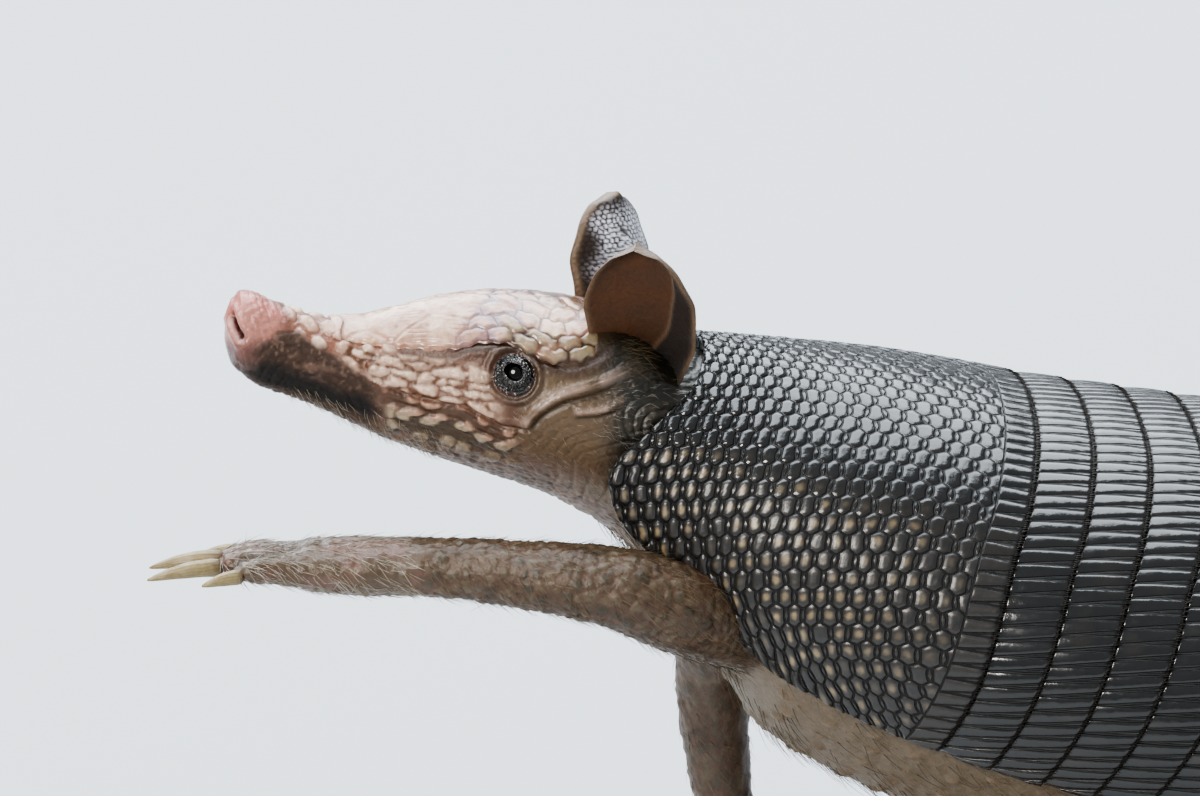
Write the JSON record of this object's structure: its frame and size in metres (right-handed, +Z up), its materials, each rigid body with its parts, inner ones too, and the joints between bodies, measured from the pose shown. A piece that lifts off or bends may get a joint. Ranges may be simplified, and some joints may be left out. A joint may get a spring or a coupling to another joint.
{
  "type": "armadillo",
  "caption": "Life-size still model of an armadillo swimming with its head up and one foreleg reaching forward, on a flat base with short rods.",
  "frame": {"origin": "centre of the underside of the stand's base, on the surface that it rests on", "axes": "+Z up; the animal's head points to -X and its tail to +X; its left side faces -Y"},
  "size_m": [0.7257, 0.17, 0.3112],
  "materials": {
    "face_skin": "wet skin, pale brown and pink with brown folds",
    "skin": "wet wrinkled skin with small scales",
    "head_plate": "wet horny scales, cream with brown seams",
    "carapace": "wet horny scales, near black, with tan spots low on the sides",
    "ear": "wet pebbled leather, dark brown",
    "eye": "wet, glossy black",
    "claw": "smooth horn, pale yellow",
    "base_wood": "dark satin wood",
    "rod_steel": "brushed"
  },
  "bodies": {
    "root": {"head": "face_skin", "head_shield": "head_plate", "eye_left": "eye", "ear_left": "ear", "eye_right": "eye", "ear_right": "ear", "neck": "skin", "trunk": "skin", "shoulder_shield": "carapace", "band_1": "carapace", "band_2": "carapace", "band_3": "carapace", "band_4": "carapace", "band_5": "carapace", "band_6": "carapace", "band_7": "carapace", "band_8": "carapace", "band_9": "carapace", "pelvic_shield": "carapace", "foreleg_left": "skin", "forefoot_left": "skin", "claw_fore_left_1": "claw", "claw_fore_left_2": "claw", "claw_fore_left_3": "claw", "claw_fore_left_4": "claw", "foreleg_right": "skin", "forefoot_right": "skin", "claw_fore_right_1": "claw", "claw_fore_right_2": "claw", "claw_fore_right_3": "claw", "claw_fore_right_4": "claw", "hindleg_left": "skin", "hindfoot_left": "skin", "claw_hind_left_1": "claw", "claw_hind_left_2": "claw", "claw_hind_left_3": "claw", "claw_hind_left_4": "claw", "claw_hind_left_5": "claw", "hindleg_right": "skin", "hindfoot_right": "skin", "claw_hind_right_1": "claw", "claw_hind_right_2": "claw", "claw_hind_right_3": "claw", "claw_hind_right_4": "claw", "claw_hind_right_5": "claw", "tail_ring_1": "carapace", "tail_ring_2": "carapace", "tail_ring_3": "carapace", "tail_ring_4": "carapace", "tail_ring_5": "carapace", "tail_ring_6": "carapace", "tail_ring_7": "carapace", "tail_ring_8": "carapace", "tail_ring_9": "carapace", "tail_tip": "carapace", "stand_base": "base_wood", "stand_rod_front": "rod_steel", "stand_rod_rear": "rod_steel"}
  },
  "joints": []
}
